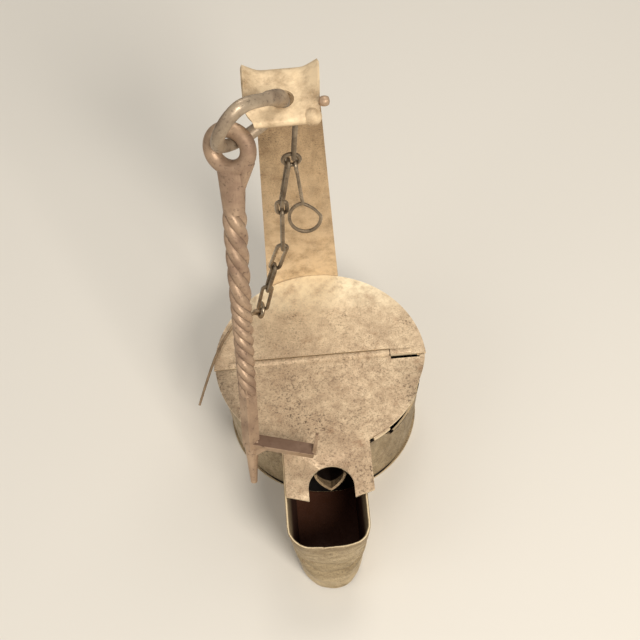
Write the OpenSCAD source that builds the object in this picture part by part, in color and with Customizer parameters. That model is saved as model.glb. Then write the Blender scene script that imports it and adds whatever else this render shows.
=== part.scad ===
// Betty lamp: a covered sheet-iron oil lamp with a forged hanger, a chain and a wick pick.
// Millimetres, +Z up. The origin is the centre of the reservoir's floor, on the table.
// The spout points to -Y and the handle stands at +Y.

/* [Reservoir] */
// Outside radius of the wall at its rim
wall_top_r = 38; // [36:0.1:40]
// Outside radius of the wall at the floor
wall_foot_r = 36; // [34:0.1:38]
// Height of the top of the covers
cover_z = 36.3; // [30:0.1:42]
// Thickness of the sheet iron
sheet_t = 0.9; // [0.7:0.05:1.2]
// How far the floor stands out past the wall's foot
floor_lip = 0.8; // [0.3:0.1:1.5]
// Depth of the gap that is left under the front cover at the right
gap_depth = 2.8; // [1.5:0.1:4]
// Place of the gap's front end, from straight right to the front
gap_place = 51; // [45:1:52]
// Stretch of the rim that the gap covers
gap_arc = 27; // [15:1:30]

/* [Spout] */
// Sideways place of the spout's middle
spout_x = -2.2; // [-4:0.1:4]
// Width of the spout across its rim
spout_top_w = 29.9; // [26:0.1:32]
// Width of the spout across its foot
spout_foot_w = 24.4; // [20:0.1:26]
// Reach of the spout's rim in front of the origin
spout_top_y = 73.3; // [66:0.1:80]
// Reach of the spout's foot in front of the origin
spout_foot_y = 76; // [66:0.1:80]
// Corner radius of the spout's foot
spout_corner_r = 8; // [5:0.1:9.5]
// How far the spout's floor stands out past its wall
spout_lip = 0.5; // [0.2:0.1:1]

/* [Covers] */
// Radius of the rear cover
rear_cover_r = 40.4; // [39:0.1:43]
// Radius of the front cover
front_cover_r = 40; // [39:0.1:43]
// How far behind the origin the front cover's arc is centred
front_arc_y = 3.5; // [1:0.1:5]
// Hinge line's place behind the origin
hinge_y = 2.4; // [0:0.1:4]
// Sideways place of the tongue's middle
tongue_x = -0.5; // [-2:0.1:2]
// Width of the tongue over the spout
tongue_w = 31.8; // [30.5:0.1:34]
// Reach of the tongue's outer corners in front of the origin
tongue_y = 53.5; // [50:0.1:58]
// How far the prongs' inner tips reach past their outer corners
prong_slope = 2.4; // [0:0.1:4]
// Radius of the wick notch
notch_r = 8.3; // [6:0.1:10]
// Place of the notch's centre in front of the origin
notch_y = 51.3; // [49:0.1:53]
// Place of the solder bead on the rim, from straight right to the front
bead_place = 63; // [60:1:66]
// Stretch of the rim that the bead covers
bead_arc = 11; // [6:1:12]
// Width of the bead
bead_w = 0.7; // [0.5:0.05:0.8]
// Height of the bead
bead_h = 1.6; // [1:0.1:2]
// Gap under the front cover where it lies on the rim
lid_gap = 0.15; // [0.1:0.01:0.3]

/* [Hinge] */
// Radius of the hinge wire
hinge_wire_r = 0.7; // [0.5:0.05:1]
// Length of the hinge wire
hinge_wire_l = 69; // [60:0.5:70]
// Radial play of the wire in the front cover's roll
hinge_play = 0.05; // [0.02:0.01:0.1]
// Thickness of the metal rolled round the wire
roll_t = 0.6; // [0.4:0.05:0.8]
// Length of the front cover's roll
lid_roll_l = 53; // [44:0.5:56]
// Gap beside and behind the front cover's roll
roll_gap = 0.4; // [0.3:0.05:0.6]
// Width of the slot at the right end of the hinge line
slot_w = 1.2; // [0.6:0.1:1.6]

/* [Wick support] */
// Outside radius of the wick trough
trough_r = 4.3; // [3.5:0.1:5]
// Place of the trough's tip in front of the origin
trough_tip_y = 48.6; // [46:0.1:52]
// Height of the trough's tip
trough_tip_z = 30; // [26:0.1:31]
// Upward slope of the trough
trough_slope = 33; // [28:0.5:40]

/* [Handle] */
// Sideways place of the strap's middle
strap_x = -3.9; // [-6:0.1:4]
// Thickness of the strap
strap_t = 1.1; // [0.8:0.05:1.4]
// Width of the strap at the covers
strap_foot_w = 28.6; // [24:0.1:32]
// Width of the strap at its top
strap_top_w = 21; // [18:0.1:24]
// How far the top plate spreads past the strap on its left
plate_spread = 3.4; // [2:0.1:4]
// Height of the top plate's upper face
plate_z = 157; // [130:0.5:170]
// Place of the front edge of the top plate behind the origin
plate_front_y = 18.6; // [16:0.1:21]
// Outside radius of the bend between strap and plate
bend_r = 4; // [3:0.1:6]
// Height of the turned-up edges
edge_h = 2.6; // [1.5:0.1:4]
// Thickness of the turned-up edges
edge_t = 0.9; // [0.7:0.05:1.2]
// Radius of the rolled front edge
front_roll_r = 1.6; // [1.2:0.05:2]
// Length of the rolled front edge
front_roll_l = 18; // [16:0.1:20]
// Sideways place of the ring hole
ring_hole_x = -5.6; // [-7:0.1:-4]
// Place of the ring hole behind the origin
ring_hole_y = 26.6; // [25:0.1:28]
// Radius of the ring hole
ring_hole_r = 3.3; // [2.8:0.1:4]
// Place of the edge rivet in front of the ring hole
rivet_place = 3.4; // [2:0.1:4]
// Radius of the edge rivet
rivet_r = 1.5; // [1:0.1:1.8]
// Length of the edge rivet outside the plate
rivet_l = 3.2; // [2:0.1:4]
// Gap between the rear cover and the strap
strap_gap = 0.3; // [0.1:0.05:0.6]
// Lowest point of the strap's foot on the wall
strap_foot_z = 8; // [4:0.5:14]

/* [Hanger] */
// Radius of the ring's bar
ring_bar_r = 2; // [1.6:0.05:2.2]
// Gap between the ring's bar and the edge of its hole
ring_gap = 0.5; // [0.4:0.05:0.7]
// Mean radius of the ring
ring_r = 12; // [11:0.1:13]
// Height of the ring's centre below the top plate's upper face
ring_drop = 2; // [1:0.1:3]
// Heading of the ring, forward of straight left
ring_heading = 33; // [25:1:36]
// Lean of the ring's upper side to the front
ring_lean = 20; // [10:1:30]
// Place of the hanger's eye on the ring, below the horizontal
eye_place = 60; // [50:1:66]
// How far the eye hangs down from the middle of the ring's bar
eye_drop = 1.3; // [0.6:0.1:1.4]
// Mean radius of the hanger's eye
eye_r = 6.5; // [6.2:0.1:7]
// Radius of the eye's bar
eye_bar_r = 2.6; // [2.3:0.05:2.8]
// Turn of the eye's face to the left
eye_turn = 22; // [14:1:30]
// Width of the shank at the top of its twist
shank_top_w = 6.2; // [5:0.1:7]
// Width of the shank at the bottom of its twist
shank_low_w = 5; // [4:0.1:6]
// Turns in the twist
shank_turns = 2.75; // [2:0.25:5]
// Width of the neck under the eye
neck_w = 8; // [7:0.1:9]
// Distance of the twist's start below the eye's centre
twist_start = 17; // [15:0.5:20]
// Length of the twisted stretch
twist_l = 74; // [60:1:78]
// Length of the spike below the fork
spike_l = 16; // [10:0.5:20]
// Width of the spike's tip
spike_tip_w = 2; // [1.5:0.1:3]
// Width of the hook arm
arm_w = 4.6; // [3.5:0.1:5.5]
// Thickness of the hook arm
arm_t = 2; // [1.6:0.1:2.6]
// Height of the arm's turned-up tip
arm_tip_h = 7; // [4:0.5:10]

/* [Chain and pick] */
// Radius of the chain wire
wire_r = 0.7; // [0.55:0.05:0.75]
// Mean half width of a chain link
link_half_w = 1.75; // [1.7:0.05:2.2]
// Mean radius of the chain's two round rings
small_r = 2.7; // [2.5:0.1:3]
// Gap between two links where they hang in each other
link_gap = 0.25; // [0.15:0.05:0.35]
// Width of the wire loop
loop_w = 10.4; // [8:0.1:12]
// Height of the wire loop
loop_h = 13.4; // [12:0.1:16]
// Length of the wire loop's stem
loop_stem_l = 15; // [12:0.5:18]
// Lean of the wire loop's stem to the right
loop_lean = 4; // [0:0.5:8]
// Lean of the wire loop's stem to the front
loop_forward = 8; // [7:0.5:12]
// Mean radius of the wire loop's eye
loop_eye_r = 2.2; // [2.1:0.1:2.5]
// Radius of the pick's wire
pick_r = 0.7; // [0.6:0.05:0.75]
// Radius of the pick's point
pick_point_r = 0.45; // [0.3:0.05:0.55]

/* [Hidden] */
$fn = 48;

tin = "#b39b77";
dark_tin = "#8f7a5c";
iron = "#7d6a5a";
wire_iron = "#5b4a3a";

// How far a cut runs past the face it starts from
cut_over = 1;
// Thickness of the thin ends that a drawn-out bar is spanned between
slip = 0.1;

// Heights of the stacked sheets
rim_z = cover_z - sheet_t;
hinge_z = cover_z - sheet_t / 2;
wall_slope = (wall_top_r - wall_foot_r) / (rim_z - sheet_t);
roll_r = hinge_wire_r + hinge_play + roll_t;

// Flats round a bent wire, and the turn between two of its sections
wire_sides = 12;
link_step = 22.5;

// Distances along the chain
link_end = wire_r + link_gap / 2;

// Strap and plate
strap_front_y = rear_cover_r + strap_gap;
strap_back_y = strap_front_y + strap_t;
plate_low_z = plate_z - strap_t;
plate_left_x = strap_x - strap_top_w / 2 - plate_spread;
strap_low_z = rim_z - 6;
strap_span = 2 * strap_foot_w;
strap_deep = strap_back_y + edge_h + cut_over;

// Ring and hanger frames: the ring leans to the front and passes down through its hole
ring_dir = [-cos(ring_heading), -sin(ring_heading), 0];
ring_side = [sin(ring_heading), -cos(ring_heading), 0];
ring_up = cos(ring_lean) * [0, 0, 1] + sin(ring_lean) * ring_side;
ring_axis = cross(ring_dir, ring_up);
ring_z = plate_z - ring_drop;
ring_shift = (ring_drop - strap_t / 2) * tan(ring_lean);
ring_foot = [ring_hole_x, ring_hole_y, ring_z]
    + (ring_hole_r - ring_bar_r - ring_gap) * ring_dir - ring_shift * ring_side;
ring_mid = ring_foot + ring_r * ring_dir;
eye_seat = ring_mid + ring_r * (cos(eye_place) * ring_dir - sin(eye_place) * ring_up);
eye_mid = eye_seat + eye_drop * [0, -0.47, -0.88];

// The shank runs from the eye to the fork, which lies over the front cover's left edge
fork = [-27.3, -36.7, cover_z + 10.5];
shank_dir = unit(fork - eye_mid);
shank_l = norm(fork - eye_mid);
eye_front = unit(across([-0.04, -0.88, 0.47], shank_dir));
eye_axis = cos(eye_turn) * eye_front + sin(eye_turn) * cross(shank_dir, eye_front);
arm_end = [-5, -40.8, fork.z - 0.9];

// Points where each link of the chain hangs in the one before
chain_top = [-2.1, 21.4, plate_low_z - 3.6];
small_mid = [-4.4, 19, 136.4];
small_hang = small_r - link_end;
loop_dir = unit([sin(loop_lean), -sin(loop_forward), -1]);
loop_joint = small_mid + small_hang * [sin(40), 0, -cos(40)];
joints = [
    chain_top,
    small_mid + small_hang * [sin(25), 0, cos(25)],
    small_mid + small_hang * [-sin(35), 0, -cos(35)],
    [-8.9, 18.9, 114],
    [-9, 18.9, 109],
    [-10, 19, 88.5],
    [-13.7, 19.6, 75],
    [-17.2, 20.6, 60.4],
    [-20.2, 22, cover_z + 8]
];

// The chain's last ring hangs low over the rear cover
end_dir = unit([-0.4, 0.25, -1]);
end_mid = joints[8] + small_hang * end_dir;

// The pick starts with an eye round the last ring and runs over the rim to its point
pick_eye_mid = end_mid + (small_r - 2 * link_end + link_half_w) * end_dir;
pick_route = [
    pick_eye_mid + link_half_w * unit([-1, 0, -0.2]),
    [-27, 22.3, cover_z + 2.6],
    [-28.5, 21.6, cover_z + 2.2],
    [-32.5, 18.6, cover_z + 2],
    [-36.5, 12.2, cover_z + 1.9],
    [-39.8, 5.2, cover_z + 1.7],
    [-42.3, -0.6, cover_z + 0.2],
    [-44.7, -5.6, cover_z - 2.6],
    [-47, -10, cover_z - 6.2]
];

function unit(v) = v / norm(v);
function across(v, axis) = v - (v * axis) * axis;

// Stands a shape at p with its Z along z and its Y as near to y as it can be
module placed(p, z, y) {
    c = unit(z);
    b = unit(across(y, c));
    a = cross(b, c);
    multmatrix([
        [a.x, b.x, c.x, p.x],
        [a.y, b.y, c.y, p.y],
        [a.z, b.z, c.z, p.z]
    ])
        children();
}

// A closed loop of wire in the XZ plane, with round ends, whose middle line is length long
module wire_link(length, half_w, r) {
    bows = [for (turn = [0:link_step:360 - link_step / 2]) turn];
    turns = concat([for (t = bows) if (t <= 180) t], [180], [for (t = bows) if (t > 180) t], [0]);
    count = len(turns);
    points = [
        for (i = [0:count - 1])
            let (
                high = i <= (count - 2) / 2,
                mid_z = high ? length - half_w : half_w,
                out = [cos(turns[i]), 0, sin(turns[i])]
            )
                for (k = [0:wire_sides - 1])
                    [0, 0, mid_z] + half_w * out
                        + r * (cos(360 * k / wire_sides) * out + [0, r_side(k), 0])
    ];
    faces = [
        for (i = [0:count - 1])
            for (k = [0:wire_sides - 1])
                let (
                    a = i * wire_sides, b = (i + 1) % count * wire_sides, n = (k + 1) % wire_sides
                )
                    each [[a + k, b + k, b + n], [a + k, b + n, a + n]]
    ];
    polyhedron(points, faces);
}

function r_side(k) = sin(360 * k / wire_sides);

// One link between two points of the chain, with its face square to facing
module chain_link(start, end, facing) {
    way = unit(end - start);
    length = norm(end - start) + 2 * link_end;
    placed(start - link_end * way, way, facing)
        wire_link(length, link_half_w, wire_r);
}

// A tube with sides flats that is swept along a route, from radius r0 to r1
module swept_wire(route, r0, r1, sides) {
    last = len(route) - 1;
    ways = [for (i = [0:last]) unit(route[min(i + 1, last)] - route[max(i - 1, 0)])];
    points = [
        for (i = [0:last])
            let (a = unit(across([0, 0, 1], ways[i])), b = cross(ways[i], a))
                for (k = [0:sides - 1])
                    route[i] + (r0 + (r1 - r0) * i / last)
                        * (cos(360 * k / sides) * a + sin(360 * k / sides) * b)
    ];
    sides_of = [
        for (i = [0:last - 1])
            for (k = [0:sides - 1])
                let (n = (k + 1) % sides)
                    each [
                        [i * sides + k, (i + 1) * sides + k, (i + 1) * sides + n],
                        [i * sides + k, (i + 1) * sides + n, i * sides + n]
                    ]
    ];
    ends = [
        for (k = [1:sides - 2])
            each [
                [0, k, k + 1],
                [last * sides, last * sides + k + 1, last * sides + k]
            ]
    ];
    polyhedron(points, concat(sides_of, ends));
}

// A block as wide as the reservoir's wall that cuts what stands against it
module wall_solid() {
    spread = cut_over * wall_slope;
    rotate_extrude($fn = 96)
        polygon([
            [0, sheet_t - cut_over], [wall_foot_r - spread, sheet_t - cut_over],
            [wall_top_r + spread, rim_z + cut_over], [0, rim_z + cut_over]
        ]);
}

// Outline of the spout, width wide, from behind the wall to its round corners reach in front
function spout_outline(inset, width, reach) =
    let (w = width / 2 - inset, r = spout_corner_r - inset, front = -reach + inset)
        [
            [spout_x + w, 0],
            [spout_x - w, 0],
            for (turn = [0:10:90]) [spout_x - w + r - r * cos(turn), front + r - r * sin(turn)],
            for (turn = [90:-10:0]) [spout_x + w - r + r * cos(turn), front + r - r * sin(turn)]
        ];

// A block with flat ends between a lower outline and an upper one of as many points
module block_between(low, low_z, high, high_z) {
    count = len(low);
    last = count - 1;
    points = [
        for (p = low) [p.x, p.y, low_z],
        for (p = high) [p.x, p.y, high_z]
    ];
    sides = [
        for (k = [0:last])
            let (n = (k + 1) % count)
                each [[k, n + count, n], [k, k + count, n + count]]
    ];
    ends = [
        for (k = [1:last - 1])
            each [[0, k, k + 1], [count, count + k + 1, count + k]]
    ];
    polyhedron(points, concat(sides, ends));
}

// The spout as a solid block, spreading from its foot to its rim
module spout_solid() {
    block_between(
        spout_outline(0, spout_foot_w, spout_foot_y), sheet_t,
        spout_outline(0, spout_top_w, spout_top_y), rim_z
    );
}

// The inside of the spout, open at its foot and rim
module spout_hollow() {
    block_between(
        spout_outline(sheet_t, spout_foot_w, spout_foot_y), sheet_t - cut_over,
        spout_outline(sheet_t, spout_top_w, spout_top_y), rim_z + cut_over
    );
}

module reservoir_floor() {
    color(dark_tin)
        cylinder(r = wall_foot_r + floor_lip, h = sheet_t, $fn = 96);
}

module reservoir_wall() {
    mouth_w = spout_foot_w - 2 * sheet_t;
    color(tin)
        difference() {
            rotate_extrude($fn = 96)
                polygon([
                    [wall_foot_r - sheet_t, sheet_t], [wall_foot_r, sheet_t],
                    [wall_top_r, rim_z], [wall_top_r - sheet_t, rim_z]
                ]);
            translate([spout_x - mouth_w / 2, -wall_top_r - cut_over, sheet_t])
                cube([mouth_w, wall_top_r, rim_z]);
            translate([0, 0, rim_z - gap_depth])
                rotate([0, 0, -gap_place])
                    rotate_extrude(angle = gap_arc, $fn = 96)
                        translate([wall_foot_r - 2 * sheet_t, 0])
                            square([wall_top_r, gap_depth + cut_over]);
        }
}

module spout_floor() {
    color(dark_tin)
        difference() {
            linear_extrude(height = sheet_t)
                polygon(spout_outline(-spout_lip, spout_foot_w, spout_foot_y));
            translate([0, 0, -cut_over])
                cylinder(r = wall_foot_r + floor_lip, h = sheet_t + 2 * cut_over, $fn = 96);
        }
}

module spout_wall() {
    color(tin)
        difference() {
            spout_solid();
            spout_hollow();
            wall_solid();
        }
}

// A half-round trough that rises from the floor and carries the wick to the notch
module wick_support() {
    run = trough_tip_z / sin(trough_slope) + trough_r;
    tip = [0, -trough_tip_y, trough_tip_z];
    color(dark_tin)
        intersection() {
            translate([-trough_r, -trough_tip_y - trough_r, sheet_t])
                cube([2 * trough_r, trough_tip_y + 2 * trough_r, rim_z - sheet_t]);
            translate(tip)
                rotate([-90 - trough_slope, 0, 0])
                    difference() {
                        union() {
                            translate([0, 0, trough_r])
                                cylinder(r = trough_r, h = run);
                            translate([0, 0, trough_r])
                                sphere(r = trough_r);
                        }
                        translate([0, 0, trough_r])
                            cylinder(r = trough_r - sheet_t, h = run + cut_over);
                        translate([0, 0, trough_r])
                            sphere(r = trough_r - sheet_t);
                        translate([-2 * trough_r, -2 * trough_r, -cut_over])
                            cube([4 * trough_r, 2 * trough_r, run + 2 * trough_r]);
                    }
        }
}

module rear_cover() {
    edge_y = hinge_y + roll_r + roll_gap;
    wing_w = (hinge_wire_l - lid_roll_l) / 2 - roll_gap;
    color(tin) {
        difference() {
            union() {
                translate([0, 0, rim_z])
                    intersection() {
                        cylinder(r = rear_cover_r, h = sheet_t, $fn = 96);
                        union() {
                            translate([-rear_cover_r, edge_y, 0])
                                cube([2 * rear_cover_r, rear_cover_r, sheet_t]);
                            for (side = [-1, 1])
                                translate([side > 0 ? hinge_wire_l / 2 : -rear_cover_r, hinge_y - roll_r, 0])
                                    cube([rear_cover_r - hinge_wire_l / 2, rear_cover_r, sheet_t]);
                        }
                    }
                for (side = [-1, 1])
                    translate([side * (hinge_wire_l - wing_w) / 2, hinge_y, hinge_z])
                        union() {
                            rotate([0, 90, 0])
                                cylinder(r = roll_r, h = wing_w, center = true);
                            translate([-wing_w / 2, 0, -sheet_t / 2])
                                cube([wing_w, roll_r + roll_gap + sheet_t, sheet_t]);
                        }
            }
            translate([0, hinge_y, hinge_z])
                rotate([0, 90, 0])
                    cylinder(r = hinge_wire_r, h = hinge_wire_l, center = true);
        }
    }
}

module hinge_wire() {
    color(wire_iron)
        translate([0, hinge_y, hinge_z])
            rotate([0, 90, 0])
                cylinder(r = hinge_wire_r, h = hinge_wire_l, center = true);
}

// The hinged front cover: its rear edge is rolled round the wire, its tongue lies over the
// spout and forks round the wick notch
module front_cover() {
    edge_y = hinge_y - roll_r - roll_gap;
    half = tongue_w / 2;
    color(tin)
        difference() {
            union() {
                translate([0, 0, rim_z + lid_gap])
                    linear_extrude(height = sheet_t)
                        difference() {
                            union() {
                                intersection() {
                                    translate([0, front_arc_y])
                                        circle(front_cover_r, $fn = 96);
                                    translate([-front_cover_r, -front_cover_r])
                                        square([2 * front_cover_r, front_cover_r + edge_y]);
                                }
                                polygon([
                                    [tongue_x - half, 0],
                                    [tongue_x - half, -tongue_y],
                                    [-notch_r, -tongue_y - prong_slope],
                                    [notch_r, -tongue_y - prong_slope],
                                    [tongue_x + half, -tongue_y],
                                    [tongue_x + half, 0]
                                ]);
                            }
                            translate([0, -notch_y])
                                circle(notch_r);
                            translate([-notch_r, -tongue_y - prong_slope - cut_over])
                                square([2 * notch_r, tongue_y + prong_slope + cut_over - notch_y]);
                        }
                translate([0, hinge_y, hinge_z])
                    rotate([0, 90, 0])
                        cylinder(r = roll_r, h = lid_roll_l, center = true);
                translate([-lid_roll_l / 2, edge_y - sheet_t, rim_z + lid_gap])
                    cube([lid_roll_l, hinge_y - edge_y + sheet_t, sheet_t]);
            }
            translate([0, hinge_y, hinge_z])
                rotate([0, 90, 0])
                    cylinder(r = hinge_wire_r + hinge_play, h = lid_roll_l + 2 * cut_over, center = true);
            translate([lid_roll_l / 2 + roll_gap, edge_y - slot_w, rim_z])
                cube([front_cover_r - lid_roll_l / 2 - 2 * slot_w, 2 * slot_w, 2 * sheet_t]);
        }
}

// A bead of solder left on the rim beside the front cover's right shoulder
module rim_tab() {
    color("#cbb898")
        rotate([0, 0, -bead_place])
            rotate_extrude(angle = bead_arc, $fn = 96)
                translate([wall_top_r - bead_w, rim_z])
                    square([bead_w, bead_h]);
}

// Side view of the strap as a band from its front face out to depth behind it
module strap_side(depth) {
    outer_r = bend_r + depth - strap_t;
    difference() {
        union() {
            translate([strap_front_y, strap_low_z])
                square([depth, plate_z - bend_r - strap_low_z]);
            translate([plate_front_y, plate_low_z])
                square([strap_back_y - bend_r - plate_front_y, depth]);
            translate([strap_back_y - bend_r, plate_z - bend_r])
                intersection() {
                    circle(outer_r);
                    square(outer_r + cut_over);
                }
        }
        translate([strap_back_y - bend_r, plate_z - bend_r])
            intersection() {
                circle(bend_r - strap_t);
                square(bend_r);
            }
    }
}

// Front view of the strap, inset from its two long sides
module strap_front(inset) {
    polygon([
        [strap_x - strap_foot_w / 2 + inset, strap_low_z - cut_over],
        [strap_x + strap_foot_w / 2 - inset, strap_low_z - cut_over],
        [strap_x + strap_top_w / 2 - inset, plate_z - bend_r],
        [strap_x + strap_top_w / 2 - inset, plate_z + edge_h + cut_over],
        [plate_left_x + inset, plate_z + edge_h + cut_over],
        [plate_left_x + inset, plate_z - bend_r],
        [strap_x - strap_top_w / 2 + inset, plate_z - bend_r - 2 * plate_spread]
    ]);
}

module strap_band(depth) {
    translate([strap_x - strap_span / 2, 0, 0])
        rotate([90, 0, 90])
            linear_extrude(height = strap_span)
                strap_side(depth);
}

module strap_width(inset) {
    translate([0, strap_deep, 0])
        rotate([90, 0, 0])
            linear_extrude(height = strap_deep)
                strap_front(inset);
}

// The handle: a tapering strap that is bent forward at the top, with its edges turned out
// and its front edge rolled under, on a curved foot that fits the wall
module handle_strap() {
    color(tin)
        difference() {
            union() {
                intersection() {
                    strap_band(strap_t);
                    strap_width(0);
                }
                intersection() {
                    strap_band(strap_t + edge_h);
                    difference() {
                        strap_width(0);
                        strap_width(edge_t);
                    }
                    translate([strap_x - strap_span / 2, 0, rim_z])
                        cube([strap_span, strap_deep, plate_z]);
                }
                translate([strap_x - front_roll_l / 2, plate_front_y, plate_z - front_roll_r])
                    rotate([0, 90, 0])
                        cylinder(r = front_roll_r, h = front_roll_l);
                strap_foot();
            }
            translate([ring_hole_x, ring_hole_y, plate_low_z - cut_over])
                cylinder(r = ring_hole_r, h = strap_t + 2 * cut_over);
        }
}

// The strap's foot, shaped to the wall, with the set-back that clears the rear cover
module strap_foot() {
    top_z = rim_z - sheet_t;
    low_r = wall_foot_r + wall_slope * (strap_foot_z - sheet_t);
    high_r = wall_foot_r + wall_slope * (top_z - sheet_t);
    intersection() {
        rotate_extrude($fn = 96)
            polygon([
                [low_r, strap_foot_z], [low_r + strap_t, strap_foot_z],
                [high_r + strap_t, strap_low_z - strap_t], [strap_back_y, strap_low_z],
                [strap_back_y, top_z], [high_r, top_z]
            ]);
        translate([strap_x - strap_foot_w / 2, 0, 0])
            cube([strap_foot_w, strap_back_y, rim_z]);
    }
}

// A plain rivet that stands out of the plate's right edge
module edge_rivet() {
    edge_x = strap_x + strap_top_w / 2;
    color(dark_tin)
        translate([edge_x, ring_hole_y - rivet_place, plate_z + edge_h / 2])
            rotate([0, 90, 0])
                cylinder(r = rivet_r, h = rivet_l, $fn = 24);
}

// A half ring of wire under the plate that the chain hangs from
module chain_staple() {
    staple_w = chain_top_drop() + 2 * wire_r;
    color(wire_iron)
        translate([chain_top.x, chain_top.y, plate_low_z])
            intersection() {
                rotate([90, 0, 0])
                    rotate_extrude()
                        translate([chain_top_drop(), 0])
                            circle(wire_r);
                translate([-staple_w, -staple_w, -2 * staple_w])
                    cube(2 * staple_w);
            }
}

function chain_top_drop() = plate_low_z - chain_top.z + link_end;

module hanger_ring() {
    color(iron)
        placed(ring_mid, ring_axis, ring_up)
            rotate_extrude($fn = 64)
                translate([ring_r, 0])
                    circle(ring_bar_r);
}

// The forged hanger: an eye, a twisted shank and a spike, drawn along the shank from the eye
module hanger_shape() {
    low_end = twist_start + twist_l;
    rotate([90, 0, 0])
        rotate_extrude()
            translate([eye_r, 0])
                circle(eye_bar_r);
    hull() {
        translate([-neck_w / 2, -eye_bar_r, eye_r + eye_bar_r / 4])
            cube([neck_w, 2 * eye_bar_r, slip]);
        translate([-shank_top_w / 2, -shank_top_w / 2, twist_start])
            cube([shank_top_w, shank_top_w, slip]);
    }
    translate([0, 0, twist_start])
        linear_extrude(
            height = twist_l, twist = 360 * shank_turns,
            scale = shank_low_w / shank_top_w, slices = 60, $fn = 8
        )
            square(shank_top_w, center = true);
    hull() {
        translate([-shank_low_w / 2, -shank_low_w / 2, low_end - slip])
            cube([shank_low_w, shank_low_w, slip]);
        translate([-shank_low_w / 2, -shank_low_w / 2, shank_l])
            cube([shank_low_w, shank_low_w, slip]);
        translate([-spike_tip_w / 2, -spike_tip_w / 2, shank_l + spike_l])
            cube(spike_tip_w);
    }
}

module hanger_rod() {
    color(iron)
        placed(eye_mid, shank_dir, eye_axis)
            hanger_shape();
}

// The hook arm: a flat bar welded to the shank at the fork, with its tip turned up
module hook_arm() {
    way = unit(across(arm_end - fork, [0, 0, 1]));
    side = cross([0, 0, 1], way);
    length = norm(arm_end - fork);
    color(iron)
        difference() {
            union() {
                placed(fork, arm_end - fork, [0, 0, 1])
                    translate([-arm_w / 2, -arm_t / 2, 0])
                        cube([arm_w, arm_t, length]);
                placed(arm_end, [0.15, 0.3, 1], way)
                    translate([-arm_w / 2, -arm_t, -arm_t / 2])
                        cube([arm_w, arm_t, arm_tip_h]);
            }
            placed(eye_mid, shank_dir, eye_axis)
                translate([-shank_low_w / 2, -shank_low_w / 2, shank_l - spike_l])
                    cube([shank_low_w, shank_low_w, 2 * spike_l]);
        }
}

module top_link() {
    color(wire_iron) chain_link(joints[0], joints[1], [1, 0, 0]);
}

// A bent wire that hangs beside the chain, with an open loop at its lower end
module wire_loop() {
    stem_z = 2 * loop_eye_r - link_end;
    color(wire_iron)
        placed(loop_joint, loop_dir, [0, 1, 0])
            union() {
                translate([0, 0, loop_eye_r - link_end])
                    rotate([0, 90, 0])
                        rotate_extrude()
                            translate([loop_eye_r, 0])
                                circle(wire_r);
                translate([0, 0, stem_z])
                    cylinder(r = wire_r, h = loop_stem_l);
                translate([0, 0, stem_z + loop_stem_l])
                    wire_link(loop_h, loop_w / 2, wire_r);
            }
}

module small_ring() {
    color(wire_iron)
        placed(small_mid, [0, 1, 0], [0, 0, 1])
            rotate_extrude()
                translate([small_r, 0])
                    circle(wire_r);
}

module upper_long_link() {
    color(wire_iron) chain_link(joints[2], joints[3], [1, 0, 0]);
}

module middle_ring() {
    color(wire_iron) chain_link(joints[3], joints[4], [0, 1, 0]);
}

module lower_long_link() {
    color(wire_iron) chain_link(joints[4], joints[5], [1, 0, 0]);
}

module link_one() {
    color(wire_iron) chain_link(joints[5], joints[6], [0, 1, 0]);
}

module link_two() {
    color(wire_iron) chain_link(joints[6], joints[7], [1, 0, 0.3]);
}

module link_three() {
    color(wire_iron) chain_link(joints[7], joints[8], [0, 1, 0]);
}

module end_ring() {
    color(wire_iron)
        placed(end_mid, across([1, 0, 0], end_dir), end_dir)
            rotate_extrude()
                translate([small_r, 0])
                    circle(wire_r);
}

// The wick pick: a pointed wire with an eye that is bent round the chain's last ring
module wick_pick() {
    color(wire_iron)
        union() {
            placed(pick_eye_mid, across([0, 1, 0], end_dir), end_dir)
                rotate_extrude()
                    translate([link_half_w, 0])
                        circle(pick_r);
            swept_wire(pick_route, pick_r, pick_point_r, 12);
        }
}

reservoir_floor();
reservoir_wall();
spout_floor();
spout_wall();
wick_support();
rear_cover();
hinge_wire();
front_cover();
rim_tab();
handle_strap();
edge_rivet();
chain_staple();
hanger_ring();
hanger_rod();
hook_arm();
top_link();
wire_loop();
small_ring();
upper_long_link();
middle_ring();
lower_long_link();
link_one();
link_two();
link_three();
end_ring();
wick_pick();
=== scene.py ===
import math

import bpy
from mathutils import Matrix, Vector


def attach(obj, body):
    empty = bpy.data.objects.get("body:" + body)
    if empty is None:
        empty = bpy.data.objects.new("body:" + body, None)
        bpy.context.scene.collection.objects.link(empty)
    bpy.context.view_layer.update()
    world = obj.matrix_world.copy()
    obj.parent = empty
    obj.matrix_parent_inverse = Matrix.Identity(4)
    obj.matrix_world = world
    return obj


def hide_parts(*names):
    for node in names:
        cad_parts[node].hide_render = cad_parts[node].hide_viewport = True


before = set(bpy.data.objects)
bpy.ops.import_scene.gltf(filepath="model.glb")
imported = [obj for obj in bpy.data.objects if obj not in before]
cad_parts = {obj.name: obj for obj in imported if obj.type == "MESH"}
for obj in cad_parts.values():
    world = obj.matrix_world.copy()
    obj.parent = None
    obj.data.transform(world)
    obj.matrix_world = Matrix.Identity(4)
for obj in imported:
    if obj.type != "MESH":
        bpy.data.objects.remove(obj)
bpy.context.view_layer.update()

# The view: a long lens held high in front of the spout, looking down on the covers, with the
# picture tipped a few degrees.
MM = 0.001
picture_px, focal_px = 640, 1300
tip = math.radians(3.8)
lens_at = Vector((-4.6, -246.0, 464.6)) * MM
view_side = Vector((0.99974, -0.02269, 0.0))
view_back = Vector((-0.01196, -0.52682, 0.84989))
view_up = view_back.cross(view_side)
lens_x = view_side * math.cos(tip) - view_up * math.sin(tip)
lens_y = view_side * math.sin(tip) + view_up * math.cos(tip)
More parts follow.
